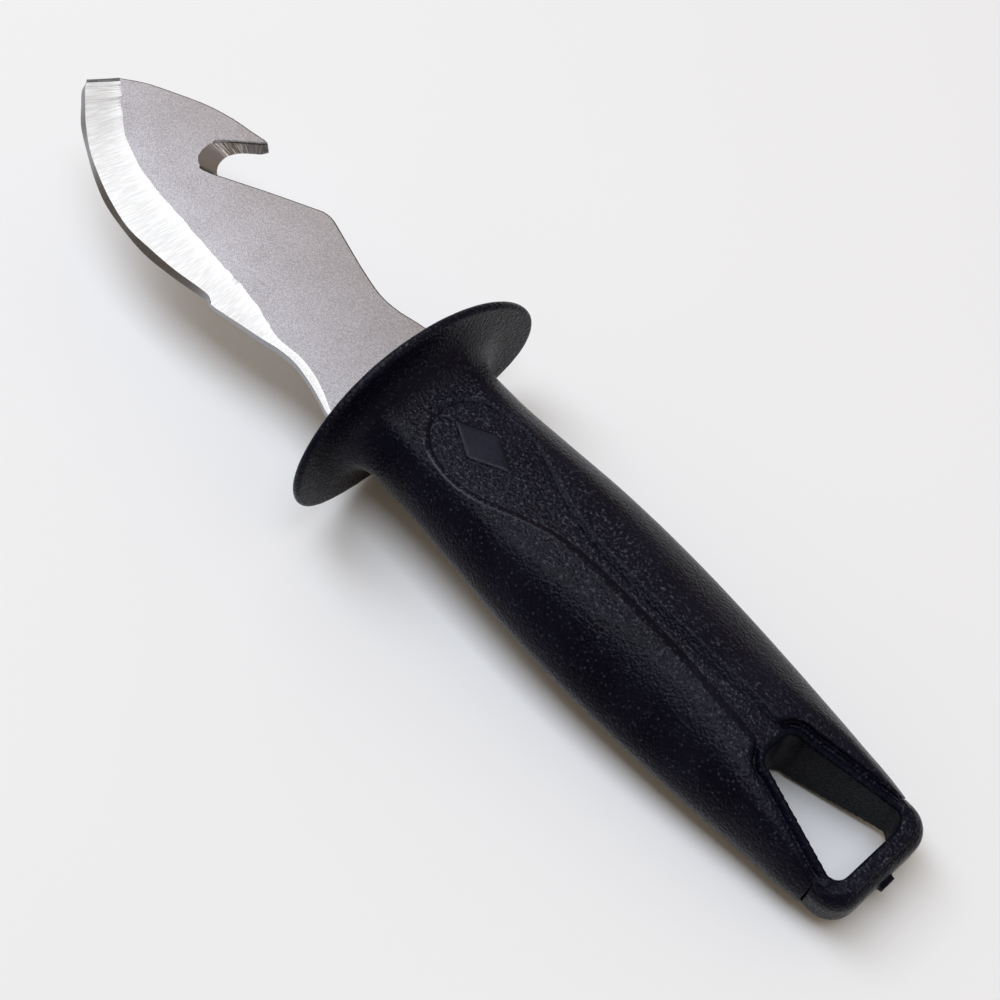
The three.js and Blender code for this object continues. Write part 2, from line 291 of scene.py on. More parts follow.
def tang_half_width(x):
    share = (BLADE_ROOT_X - x) / (TANG_LENGTH + BLADE_ROOT_X)
    return TANG_ROOT_HALF_WIDTH + (TANG_END_HALF_WIDTH - TANG_ROOT_HALF_WIDTH) * share


def tang_outline():
    """The hidden tang, from the cutting edge's side round its end to the spine's side."""
    end = -TANG_LENGTH
    turn = tang_half_width(end)
    return np.concatenate([
        [(BLADE_ROOT_X, TANG_ROOT_HALF_WIDTH)],
        corner((end + turn, 0), turn, 1, 3, count=17),
        [(BLADE_ROOT_X, -TANG_ROOT_HALF_WIDTH)],
    ])


def blade_root_outline():
    """The part of the blade that stands in the grip, from its root to just past the guard."""
    return np.array([
        (BLADE_ROOT_X, -12.6), (0, -12.2), (3, -11.7), (3, 12.5), (0, 13.2), (BLADE_ROOT_X, 13.4),
    ])


class HandleGrid:
    """The points at which the handle's fields are worked out, and the fields that both mouldings share."""

    def __init__(self):
        self.low = np.array([STUB_X, -GUARD_HALF_WIDTH, -GUARD_HALF_HEIGHT]) - GRID_MARGIN
        self.x = np.arange(self.low[0], GUARD_FRONT_X + GRID_MARGIN, NET_STEP, np.float32)[:, None, None]
        self.y = np.arange(self.low[1], -self.low[1], NET_STEP, np.float32)[None, :, None]
        self.z = np.arange(self.low[2], -self.low[2], NET_STEP, np.float32)[None, None, :]
        self.window = self.plan(window_outline())
        self.hole = self.plan(hole_outline())
        reach = self.along(step_half)
        self.opening = np.minimum(self.window + reach, self.hole - HOLE_LIP - HOLE_GROOVE)
        step = self.along(window_recess) * (1 - smooth_step(-reach, reach, self.window))
        # The knife rests on its lower face, which has no bead.
        step = step - BEAD_HEIGHT * (self.z > 0) * np.exp(-(((self.window - BEAD_OUT) / BEAD_HALF) ** 2))
        self.surface = self.handle_section(0, 0) + step

    def plan(self, outline):
        return outline_distance(outline, self.x[:, :, 0], self.y[:, :, 0]).astype(np.float32)[:, :, None]

    def along(self, curve):
        return curve(self.x).astype(np.float32)

    def handle_section(self, side_wall, face_wall):
        """Two shallow arches, one for the face and one for the flank, that meet in a soft crease."""
        width = self.along(half_width) - side_wall
        thick = self.along(half_thickness) - face_wall
        out = self.along(crease_out) * width / self.along(half_width)
        bend = self.along(face_bend)
        side_bend = (width - out) / (thick - bend * out**2) ** 2
        face = (abs(self.z) - thick + bend * self.y**2) / np.sqrt(1 + (2 * bend * self.y) ** 2)
        flank = (abs(self.y) - width + side_bend * self.z**2) / np.sqrt(1 + (2 * side_bend * self.z) ** 2)
        return smooth_max(face, flank, self.along(crease_round))

    def core_body(self):
        ends = np.maximum(self.x - CORE_FRONT_X, CORE_BODY_END_X - self.x)
        return np.maximum(self.handle_section(GRIP_SIDE_WALL, GRIP_FACE_WALL), ends)

    def tang_room(self):
        """The blade's tang and root with the gap round them: negative inside."""
        tang = self.plan(tang_outline())
        for x in TANG_HOLE_PLACES:
            middle = np.hypot(self.x - x, self.y)
            tang = np.maximum(tang, TANG_HOLE_RADIUS - middle)
        mouth = np.maximum(CORE_FRONT_X - self.x, self.plan(blade_root_outline()))
        flat = np.minimum(tang, mouth)
        return np.maximum(flat, abs(self.z) - BLADE_HALF) - JOIN_GAP


# ---- moulded pieces ----------------------------------------------------------------------------------


# Both keep the guard's outline distance finite near its middle.
LEAST_REACH = 0.05
LEAST_STEEPNESS = 0.5 / GUARD_HALF_WIDTH


def guard_field(grid):
    """The oval plate, bowed back at its two lobes, with a rounded rim."""
    middle = GUARD_FRONT_X - GUARD_RIM_THICKNESS / 2 - GUARD_BOW * (grid.y / GUARD_HALF_WIDTH) ** 2
    plate = abs(grid.x - middle) - GUARD_RIM_THICKNESS / 2
    across = abs(grid.y) / GUARD_HALF_WIDTH
    up = abs(grid.z) / GUARD_HALF_HEIGHT
    reach = (across**GUARD_ROUNDNESS + up**GUARD_ROUNDNESS) ** (1 / GUARD_ROUNDNESS)
    power = GUARD_ROUNDNESS - 1
    steepness = np.hypot(across**power / GUARD_HALF_WIDTH, up**power / GUARD_HALF_HEIGHT)
    steepness = steepness / np.maximum(reach, LEAST_REACH) ** power
    rim = (reach - 1) / np.maximum(steepness, LEAST_STEEPNESS)
    return rounded_meet(plate, rim.astype(np.float32), GUARD_RIM_ROUND)


def grip_field(grid, core):
    """The overmoulding and its guard, cut back to the core."""
    front = grid.x - GUARD_FRONT_X + GUARD_BOW * (grid.y / GUARD_HALF_WIDTH) ** 2
    neck = np.maximum(grid.surface, front + GUARD_RIM_THICKNESS / 2)
    body = np.maximum(smooth_min(neck, guard_field(grid), GUARD_FILLET), front)
    body = rounded_meet(body, GRIP_END_X - grid.x, GRIP_END_ROUND)
    body = np.maximum(body, -grid.opening)
    body = rounded_meet(body, HOLE_LIP + HOLE_GROOVE - grid.hole, GRIP_HOLE_ROUND)
    body = np.maximum(body, JOIN_GAP - core)
    return np.maximum(body, -grid.tang_room())


def lip_field(grid):
    """The level rim round the hole, with a groove outside it that fades where the channel runs in."""
    shown = smooth_step(*GROOVE_FADE_Y, abs(grid.y)) * smooth_step(*GROOVE_FADE_X, grid.x)
    groove = np.exp(-(((grid.hole - HOLE_LIP - HOLE_GROOVE / 2) / GROOVE_HALF) ** 2))
    return abs(grid.z) - grid.along(lip_height) + GROOVE_DEPTH * groove * shown


def relief_line(x, y):
    """Signed distance in plan to the plain lozenge on the teardrop: negative inside."""
    along, across = abs(x - RELIEF_X), abs(y)
    slope = RELIEF_HALF_WIDTH / RELIEF_HALF_LENGTH
    return (across + slope * along - RELIEF_HALF_WIDTH) / math.hypot(1, slope)


def relief_height(grid):
    lift = RELIEF_HEIGHT * (1 - smooth_step(*RELIEF_FALL, relief_line(grid.x, grid.y)))
    return np.where(grid.z > 0, lift, 0)


# Where one finish gives way to another on the core.
RELIEF_INSET = 0.05
RIM_INSET = 0.3
BORE_OUT = 0.3
RIM_END_X = GRIP_END_X - 1
STUB_FACE_X = BUTT_X - 0.1


def core_finish_of(points):
    """0 for the grained moulding, 1 for the smooth relief, 2 for the hole's walls and rim, and the stub,
    which are painted darker as shade.
    """
    x, y, z = points.T
    relief = (relief_line(x, y) < -RELIEF_INSET) & (z > 0)
    hole = outline_distance(hole_outline(), x, y)
    rim = (hole < HOLE_LIP - RIM_INSET) & (x > RIM_END_X)
    painted_shade_bore = rim | (hole < BORE_OUT) | (x < STUB_FACE_X)
    return np.where(painted_shade_bore, 2, relief.astype(int))


def grip_finish_of(points):
    """0 for the grained moulding, 1 for the strip of the bead beside the teardrop that is painted lighter as
    a highlight.
    """
    x, y, z = points.T
    near = (z > 0) & (y > PAINTED_BEAD_HIGHLIGHT_Y) & (x > PAINTED_BEAD_HIGHLIGHT_X[0]) & (x < PAINTED_BEAD_HIGHLIGHT_X[1])
    out = outline_distance(window_outline(), x[near], y[near])
    picked = np.zeros(len(points), int)
    picked[near] = (out > BEAD_OUT - PAINTED_BEAD_HIGHLIGHT_WIDTH) & (out < BEAD_OUT)
    return picked


def core_field(grid):
    """The core that the grip closes on, and the core with the flange that lies under the grip's edge."""
    skin = np.maximum(grid.surface - relief_height(grid), lip_field(grid))
    visible = np.maximum(skin, grid.opening + JOIN_GAP)
    flange = np.maximum(abs(skin + FLANGE_DEPTH + FLANGE_HALF) - FLANGE_HALF, grid.opening - FLANGE_WIDTH)
    visible = np.maximum(visible, GRIP_END_X - BUTT_LAP - grid.x)
    butt = rounded_meet(grid.plan(butt_outline()), abs(grid.z) - BUTT_HALF_THICKNESS, BUTT_EDGE_ROUND)
    butt = np.maximum(butt, grid.x - GRIP_END_X + JOIN_GAP)
    stub_sides = np.maximum(abs(grid.y) - STUB_HALF_WIDTH, abs(grid.z) - STUB_HALF_HEIGHT)
    stub = np.maximum(stub_sides, abs(grid.x - BUTT_X) - (BUTT_X - STUB_X))
    body = np.minimum(grid.core_body(), visible)
    body = smooth_min(body, butt, BUTT_BLEND)
    body = np.minimum(rounded_meet(body, -grid.hole, HOLE_EDGE_ROUND), stub)
    solid = np.maximum(body, -grid.tang_room())
    return solid, np.minimum(solid, np.maximum(flange, -grid.hole))


def surface_net(field, low, step):
    """Points and quads of the field's zero surface: one point in each cell that the surface passes."""
    inside = field < 0
    shape = np.array(field.shape) - 1
    count = np.zeros(shape, np.uint8)
    corners = [(i, j, k) for i in (0, 1) for j in (0, 1) for k in (0, 1)]
    for i, j, k in corners:
        count += inside[i : i + shape[0], j : j + shape[1], k : k + shape[2]]
    cells = np.argwhere((count > 0) & (count < 8))
    number = np.full(shape, -1, np.int32)
    number[tuple(cells.T)] = np.arange(len(cells))
    total = np.zeros((len(cells), 3))
    crossings = np.zeros(len(cells))
    for start in corners:
        for axis in range(3):
            if start[axis] == 0:
                end = list(start)
                end[axis] = 1
                a = field[tuple((cells + start).T)]
                b = field[tuple((cells + end).T)]
                crossed = (a < 0) != (b < 0)
                share = np.where(crossed, a / np.where(crossed, a - b, 1), 0)
                place = np.array(start) + share[:, None] * (np.arange(3) == axis)
                total += place * crossed[:, None]
                crossings += crossed
    points = low + step * (cells + total / crossings[:, None])
    quads = []
    for axis in range(3):
        across, up = np.eye(3, dtype=int)[[(axis + 1) % 3, (axis + 2) % 3]]
        here = np.moveaxis(inside, axis, 0)
        changed = np.moveaxis(here[:-1] != here[1:], 0, axis)
        edges = np.argwhere(changed)
        ring = [number[tuple((edges - shift).T)] for shift in (across + up, up, 0 * up, across)]
        ring = np.stack(ring, 1)
        solid_below = inside[tuple(edges.T)]
        quads.append(np.where(solid_below[:, None], ring, ring[:, ::-1]))
    return points, np.concatenate(quads)


def net_mesh(name, field, grid, finishes, pick):
    """The field's surface as a mesh; pick gives each face's finish from the middles of the faces."""
    points, quads = surface_net(field, grid.low, NET_STEP)
    mesh = bpy.data.meshes.new(name)
    mesh.vertices.add(len(points))
    mesh.vertices.foreach_set("co", in_row(points).astype(np.float32).ravel())
    mesh.loops.add(quads.size)
    mesh.loops.foreach_set("vertex_index", quads.astype(np.int32).ravel())
    mesh.polygons.add(len(quads))
    mesh.polygons.foreach_set("loop_start", np.arange(0, quads.size, 4, dtype=np.int32))
    mesh.polygons.foreach_set("use_smooth", np.ones(len(quads), bool))
    for finish in finishes:
        mesh.materials.append(moulded(**finish))
    mesh.polygons.foreach_set("material_index", pick(points[quads].mean(axis=1)).astype(np.int32))
    mesh.update(calc_edges=True)
    mesh.validate()
    return mesh


# ---- blade -------------------------------------------------------------------------------------------

# Across the blade at each station: where the flat ends, where the wide bevel ends, and the outline.
BEVEL_ROWS = [
    ((81.5, -3.4), (85.25, 1.0), (85.4, 1.15)),
    ((79.9, -2.5), (84.0, 2.2), (84.6, 2.65)),
    ((78.0, -1.2), (81.7, 3.9), (82.25, 4.5)),
    ((75.0, 0.9), (77.5, 6.8), (78.1, 7.5)),
    ((70.2, 3.6), (72.3, 9.7), (72.55, 10.19)),
    ((65.0, 5.2), (67.1, 11.7), (67.39, 12.42)),
    ((59.8, 6.2), (61.6, 13.3), (61.73, 14.2)),
    ((54.0, 6.6), (55.3, 14.4), (55.3, 15.05)),
    ((48.6, 6.8), (49.4, 14.2), (49.4, 15.28)),
    ((42.8, 7.1), (43.37, 13.67), (43.24, 14.51)),
    ((38.2, 7.3), (38.1, 12.8), (37.96, 13.49)),
    ((35.9, 7.35), (35.7, 12.55), (35.56, 13.07)),
    ((34.6, 7.4), (34.5, 12.95), (34.4, 13.35)),
    ((33.4, 7.4), (33.4, 13.25), (33.4, 13.26)),
    ((28.4, 7.9), (28.4, 12.24), (28.4, 12.25)),
    ((23.8, 8.9), (23.4, 11.24), (23.4, 11.25)),
    ((20.2, 9.1), (20.0, 10.44), (20.0, 10.45)),
    ((16.4, 8.75), (16.4, 10.04), (16.4, 10.05)),
    ((12.3, 9.15), (12.3, 10.49), (12.3, 10.5)),
    ((8.9, 10.1), (8.8, 11.24), (8.8, 11.25)),
    ((6.0, 11.2), (6.1, 11.99), (6.1, 12.0)),
    ((3.4, 12.1), (3.3, 12.49), (3.3, 12.5)),
    ((0.0, 13.1), (0.0, 13.19), (0.0, 13.2)),
    ((BLADE_ROOT_X, 13.3), (BLADE_ROOT_X, 13.39), (BLADE_ROOT_X, 13.4)),
]
EDGE_ROWS = 12  # rows of the table whose outline is sharpened
EDGE_FADE = (EDGE_ROWS - 1.2, EDGE_ROWS + 0.6)
HEIGHT_LOSS = math.tan(BEVEL_ANGLE)

SPINE_TO_SHOULDER = [
    (BLADE_ROOT_X, -12.6), (0, -12.2), (8.7, -10.6), (13.5, -9.5), (17.7, -9.3), (22.9, -10.2),
    (28.3, -11.5), (33.2, -12.75),
]
SHOULDER = [(33.2, -12.75), (34.4, -12.98), (35.6, -12.98), (36.8, -12.75)]
SPINE_TO_NOTCH = [(36.8, -12.75), (45.5, -8.25), (53.8, -3.7)]
NOTCH_TOP = [
    (53.8, -3.7), (54.8, -3.15), (57.0, -2.4), (58.8, -3.1), (59.8, -4.6), (60.1, -6.5), (59.6, -8.2),
    (58.1, -10), (55.9, -12.3), (54.6, -13.7), (54.0, -14.45),
]
NOTCH_FLOOR = [
    (53.8, -3.7), (54.4, -4.0), (55.4, -4.45), (56.2, -5.1), (56.9, -6.1), (57.3, -7.5), (57.2, -8.7),
    (56.5, -10.25), (55.2, -11.8), (54.1, -12.95), (53.55, -14.2),
]
BEAK = [(54.0, -14.45), (54.4, -14.6), (55.0, -14.6)]
BEAK_LOW = [(53.55, -14.2), (54.0, -14.55), (55.0, -14.6)]
SPINE_TO_TIP = [
    (55.0, -14.6), (58, -14), (62.3, -13.2), (67.6, -11.5), (73, -8.9), (77.8, -6.3), (81.5, -3.4),
]

# How many points each of these lines gets.
SPINE_POINTS = 90
SHOULDER_POINTS = 14
LEAD_POINTS = 12
NOTCH_POINTS = 110
BEAK_POINTS = 8
BEVEL_POINTS = 620

# The ragged end of the wide bevel: waves and grit in millimetres, and the rows where it fades in and out.
RAGGED_KNOTS = 60
RAGGED_WAVES = 0.12
RAGGED_GRIT = 0.05
RAGGED_IN = (0, 1)
RAGGED_OUT = (15, 18)

SMOOTHED_SHARE = 20  # the bevel's width is evened out over a twentieth of the blade to each side
TIP_SHARE = 50  # the first fiftieth of the wide bevel gets the painted shade of the stamped edges
WIDE_SHARES = np.array([0, 0.05, 0.1, 0.16, 0.25, 0.4, 0.6, 0.8, 1])  # the wide bevel's lines, across it
WALL_ROWS = 6  # down a slanting wall
TANG_HOLE_POINTS = 19  # round half of a hole
WELD_GRID = 2000  # points nearer than one part of this of a millimetre are one
HAIR = 1e-4  # heights this near to the upper face count as on it
LEVEL = 0.99999  # least upward part of a level face's normal
STAMPED_ANGLE = math.radians(35)
SHARP_ANGLE = math.radians(25)
STAMPED_CLEARANCE = 0.5  # edges this close to the root are left square
FLAT, GROUND, EDGE, NOTCH, PAINTED_EDGE_SHADE = range(5)  # the blade's finishes


class BladeMesh:
    """Faces laid one by one, each with the run of its grinding lines as a UV map in millimetres."""

    def __init__(self):
        self.mesh = bmesh.new()
        self.grind = self.mesh.loops.layers.uv.new("grind")
        self.known = {}

    def vertex(self, point):
        key = tuple(round(c * WELD_GRID) for c in point)
        if key not in self.known:
            self.known[key] = self.mesh.verts.new(point)
        return self.known[key]

    def face(self, points, grind, finish):
        corners, kept = [], []
        for point, place in zip(points, grind):
            vertex = self.vertex(point)
            if vertex not in corners:
                corners.append(vertex)
                kept.append(place)
        if len(corners) < 3 or self.mesh.faces.get(corners):
            return
        made = self.mesh.faces.new(corners)
        made.material_index = finish
        made.smooth = True
        for loop, place in zip(made.loops, kept):
            loop[self.grind].uv = place

    def flat(self, outline, height, finish, facing_up):
        ring = [(x, y, height) for x, y in outline]
        grind = [(y, x) for x, y in outline]
        self.face(ring if facing_up else ring[::-1], grind if facing_up else grind[::-1], finish)

    def strip(self, columns, finish):
        """Quads between neighbouring columns of points; the grinding lines run from column to column."""
        columns = np.asarray(columns)
        run = np.linalg.norm(np.diff(columns[0], axis=0), axis=1)
        along = np.concatenate([[0], np.cumsum(run)])
        step = np.linalg.norm(np.diff(columns, axis=0), axis=2).mean(1)
        across = np.concatenate([[0], np.cumsum(step)])
        for i in range(len(columns) - 1):
            for j in range(len(along) - 1):
                quad = [columns[i][j], columns[i + 1][j], columns[i + 1][j + 1], columns[i][j + 1]]
                places = [(along[j], across[i]), (along[j], across[i + 1])]
                places += [(along[j + 1], across[i + 1]), (along[j + 1], across[i])]
                self.face(quad, places, finish)


def raised(line, height):
    """A plan line as points at a height, which is one number or one for each point."""
    line = np.asarray(line, float)
    return np.column_stack([line, np.broadcast_to(height, len(line))])


def between(first, second, shares):
    return [first + (second - first) * share for share in shares]


def bevel_lines(rng):
    """The flat's end, the wide bevel's end and the outline in plan, and the heights of the last two."""
    rows = np.array(BEVEL_ROWS)
    last = len(rows) - 1
    row = np.linspace(0, last, BEVEL_POINTS)
    lines = [curve_points(rows[:, column], BEVEL_POINTS) for column in range(3)]
    outward = lines[0] - lines[1]
    outward /= np.linalg.norm(outward, axis=1)[:, None]
    waves = smooth_curve(np.linspace(0, last, RAGGED_KNOTS), rng.uniform(-1, 1, RAGGED_KNOTS))(row)
    grit = rng.uniform(-1, 1, BEVEL_POINTS)
    ragged = RAGGED_WAVES * waves + RAGGED_GRIT * grit
    ragged = ragged * smooth_step(*RAGGED_IN, row) * (1 - smooth_step(*RAGGED_OUT, row))
    lines[0] = lines[0] + outward * ragged[:, None]
    width = np.linalg.norm(lines[1] - lines[0], axis=1)
    spread = BEVEL_POINTS // SMOOTHED_SHARE
    width = np.convolve(np.pad(width, spread, "edge"), np.hanning(2 * spread + 1) / spread, "valid")
    ground = BLADE_HALF - np.clip(width * HEIGHT_LOSS, *BEVEL_LOSS_RANGE)
    sharpened = 1 - smooth_step(*EDGE_FADE, row)
    edge = ground + (-BLADE_HALF + EDGE_THICKNESS - ground) * sharpened
    return lines, ground, edge


def spine_line():
    """The back of the blade from its root to the notch."""
    to_shoulder = curve_points(SPINE_TO_SHOULDER, SPINE_POINTS)
    shoulder = curve_points(SHOULDER, SHOULDER_POINTS)
    return np.concatenate([to_shoulder[:-1], shoulder[:-1], curve_points(SPINE_TO_NOTCH, LEAD_POINTS)])


def add_wall(blade, top, finish, low_plan=None):
    """A side wall from the top's points down to the low plan line, then straight down to the flat back."""
    plan = top[:, :2] if low_plan is None else low_plan
    low = raised(plan, np.minimum(top[:, 2], -BLADE_HALF + FOOT_HEIGHT))
    rows = between(top, low, np.linspace(0, 1, WALL_ROWS)) if finish == NOTCH else [top, low]
    blade.strip([*rows, raised(plan, -BLADE_HALF)], finish)


def root_line(y_start, y_end):
    return np.array([(BLADE_ROOT_X, y_start), (BLADE_ROOT_X, y_end)], float)


def add_tang_flats(blade, outline):
    """Both faces of the tang, in halves that meet on the line through its holes, and the holes' walls."""
    half = len(outline) // 2 + 1
    turn = np.linspace(0, math.pi, TANG_HOLE_POINTS)
    arcs = [
        np.stack([x - TANG_HOLE_RADIUS * np.cos(turn), TANG_HOLE_RADIUS * np.sin(turn)], 1)
        for x in sorted(TANG_HOLE_PLACES)
    ]
    middle = np.concatenate([*arcs, [(BLADE_ROOT_X, 0)]])
    for side in (1, -1):
        edge = outline[:half] if side == 1 else outline[: half - 2 : -1]
        ring = np.concatenate([edge, middle * (1, side)])
        for height in (BLADE_HALF, -BLADE_HALF):
            blade.flat(ring, height, FLAT, (side == 1) == (height > 0))
        for arc in arcs:
            line = arc[:: -side] * (1, side)
            blade.strip([raised(line, BLADE_HALF), raised(line, -BLADE_HALF)], FLAT)


def soften_edges(mesh):
    """A small rounding on the stamped edges of the upper face."""
    mesh.normal_update()
    top = BLADE_HALF - HAIR
    stamped = [
        edge
        for edge in mesh.edges
        if len(edge.link_faces) == 2
        and min(v.co.z for v in edge.verts) > top
        and edge.calc_face_angle(0) > STAMPED_ANGLE
        and max(v.co.x for v in edge.verts) > BLADE_ROOT_X + STAMPED_CLEARANCE
    ]
    # The rounding takes the near-black finish, painted shade on the stamped edges.
    bmesh.ops.bevel(
        mesh, geom=stamped, offset=STAMPED_ROUND, segments=2, affect="EDGES", profile=0.5, material=PAINTED_EDGE_SHADE
    )


def mark_sharp_edges(mesh):
    """Sharp where finishes meet, at steep angles, and where a level face ends, which would shade unevenly."""
    mesh.normal_update()
    for edge in mesh.edges:
        finishes = {face.material_index for face in edge.link_faces}
        level = {abs(face.normal.z) > LEVEL for face in edge.link_faces}
        edge.smooth = len(finishes) == 1 and len(level) == 1 and edge.calc_face_angle(0) < SHARP_ANGLE


def wide_bevel(flat_end, ground_end, ground):
    """The wide bevel's lines, a little hollow, from the flat to its outer end."""
    lines = between(raised(flat_end, BLADE_HALF), raised(ground_end, ground), WIDE_SHARES)
    for share, line in zip(WIDE_SHARES, lines):
        hollow = np.exp(-share / EASE) - 1
        line[:, 2] += EASE * (1 - share) * hollow * (BLADE_HALF - ground)
    return lines


def blade_mesh():
    blade = BladeMesh()
    (flat_end, ground_end, outline), ground, edge = bevel_lines(np.random.default_rng(11))
    spine, to_tip = spine_line(), curve_points(SPINE_TO_TIP, SPINE_POINTS)
    notch_top, notch_floor = curve_points(NOTCH_TOP, NOTCH_POINTS), curve_points(NOTCH_FLOOR, NOTCH_POINTS)
    beak, beak_low = curve_points(BEAK, BEAK_POINTS), curve_points(BEAK_LOW, BEAK_POINTS)
    tang = tang_outline()

    # The wide bevel, then the narrow dark one that makes the edge.
    wide = wide_bevel(flat_end, ground_end, ground)
    narrow = between(raised(ground_end, ground), raised(outline, edge), (0, 0.5, 1))
    tip_rows = len(outline) // TIP_SHARE
    # The tip end of the wide bevel takes the same painted shade.
    blade.strip([line[: tip_rows + 1] for line in wide], PAINTED_EDGE_SHADE)
    blade.strip([line[tip_rows:] for line in wide], GROUND)
    blade.strip(narrow, EDGE)

    columns = wide + narrow[1:]
    tip_end = np.array([line[0] for line in columns])
    root_end = np.array([line[-1] for line in columns[::-1]])
    add_wall(blade, raised(spine, BLADE_HALF), FLAT)
    add_wall(blade, raised(notch_top, BLADE_HALF), NOTCH, notch_floor)
    add_wall(blade, raised(beak, BLADE_HALF), NOTCH, beak_low)
    add_wall(blade, raised(to_tip, BLADE_HALF), FLAT)
    add_wall(blade, tip_end, FLAT)
    blade.strip([narrow[-1], raised(outline, -BLADE_HALF)], EDGE)
    add_wall(blade, root_end, FLAT)
    add_wall(blade, raised(root_line(root_end[-1][1], TANG_ROOT_HALF_WIDTH), BLADE_HALF), FLAT)
    add_wall(blade, raised(tang, BLADE_HALF), FLAT)
    add_wall(blade, raised(root_line(-TANG_ROOT_HALF_WIDTH, spine[0][1]), BLADE_HALF), FLAT)

    root_middle = [(BLADE_ROOT_X, y) for y in (TANG_ROOT_HALF_WIDTH, 0, -TANG_ROOT_HALF_WIDTH)]
    upper = [spine, notch_top[1:], beak[1:], to_tip[1:], flat_end[1:], root_middle]
    blade.flat(np.concatenate(upper), BLADE_HALF, FLAT, True)
    lower = [spine, notch_floor[1:], beak_low[1:], to_tip[1:], tip_end[1:, :2], outline[1:], root_middle]
    blade.flat(np.concatenate(lower), -BLADE_HALF, FLAT, False)
    add_tang_flats(blade, tang)

    soften_edges(blade.mesh)
    mark_sharp_edges(blade.mesh)
    bmesh.ops.transform(blade.mesh, matrix=TO_ROW, verts=blade.mesh.verts)
    mesh = bpy.data.meshes.new("blade_steel")
    blade.mesh.to_mesh(mesh)
    blade.mesh.free()
    return mesh


# ---- finishes ----------------------------------------------------------------------------------------


class Finish:
    """A node material, built by naming each node's settings and what feeds it."""

    def __init__(self, name):
        self.material = bpy.data.materials.new(name)
        self.material.use_nodes = True
        self.tree = self.material.node_tree
        self.shader = self.tree.nodes["Principled BSDF"]

    def set(self, **values):
        for name, value in values.items():
            self.feed(self.shader.inputs[name.replace("_", " ")], value)

    def feed(self, socket, value):
        """Link the output of another node to the socket, or set its plain value."""
        if isinstance(value, bpy.types.NodeSocket):
            self.tree.links.new(value, socket)
        else:
            socket.default_value = value

    def node(self, kind, output, settings=None, **values):
        made = self.tree.nodes.new("ShaderNode" + kind)
        for name, value in (settings or {}).items():
            setattr(made, name, value)
        for name, value in values.items():
            self.feed(made.inputs[name.replace("_", " ")], value)
        return made.outputs[output]

    def noise(self, where, scale, detail=2.0, roughness=0.5):
        """Noise with a scale in waves to the unit of the place it is given, mostly a metre."""
        return self.node("TexNoise", "Fac", Vector=where, Scale=scale, Detail=detail, Roughness=roughness)

    def remap(self, value, low, high, to_low=0.0, to_high=1.0):
        ends = {"From_Min": low, "From_Max": high, "To_Min": to_low, "To_Max": to_high}
        return self.node("MapRange", "Result", Value=value, **ends)

    def math(self, operation, first, second):
        made = self.tree.nodes.new("ShaderNodeMath")
        made.operation = operation
        for socket, value in zip(made.inputs, (first, second)):
            self.feed(socket, value)
        return made.outputs[0]

    def blend(self, share, first, second):
        made = self.tree.nodes.new("ShaderNodeMix")
        made.data_type = "RGBA"
        self.feed(made.inputs["Factor"], share)
        for socket, value in zip([s for s in made.inputs if s.type == "RGBA"], (first, second)):
            self.feed(socket, value)
        return [s for s in made.outputs if s.type == "RGBA"][0]

    def bump(self, height, distance, strength=1.0, onto=None):
        under = {"Normal": onto} if onto else {}
        return self.node("Bump", "Normal", Height=height, Distance=distance, Strength=strength, **under)

    def object_place(self, stretch=(1, 1, 1)):
        place = self.node("TexCoord", "Object")
        return self.node("Mapping", "Vector", Vector=place, Scale=stretch)

    def grind_place(self, stretch):
        return self.node("Mapping", "Vector", Vector=self.grind_run(), Scale=stretch)

    def grind_run(self):
        """Millimetres along the grinding lines and across them."""
        return self.node("UVMap", "UV", {"uv_map": "grind"})

    def part_of(self, axis, vector):
        return self.node("SeparateXYZ", axis, Vector=vector)


# Painted highlight: the bright colour that the glinting grinding lines are painted toward.
PAINTED_GLINT_COLOUR = (0.95, 0.95, 0.96, 1)
PAINTED_ROOT_SHADE_FADE = (0.015, 0.055)  # metres along the row frame over which the painted shade at the root fades out
GLINT_RISE = 1.2  # millimetres of the grinding run in which the painted glint sets in,
GLINT_FALL = 2.5  # and in which it dies down,
GLINT_REST = 0.25  # to this share of it


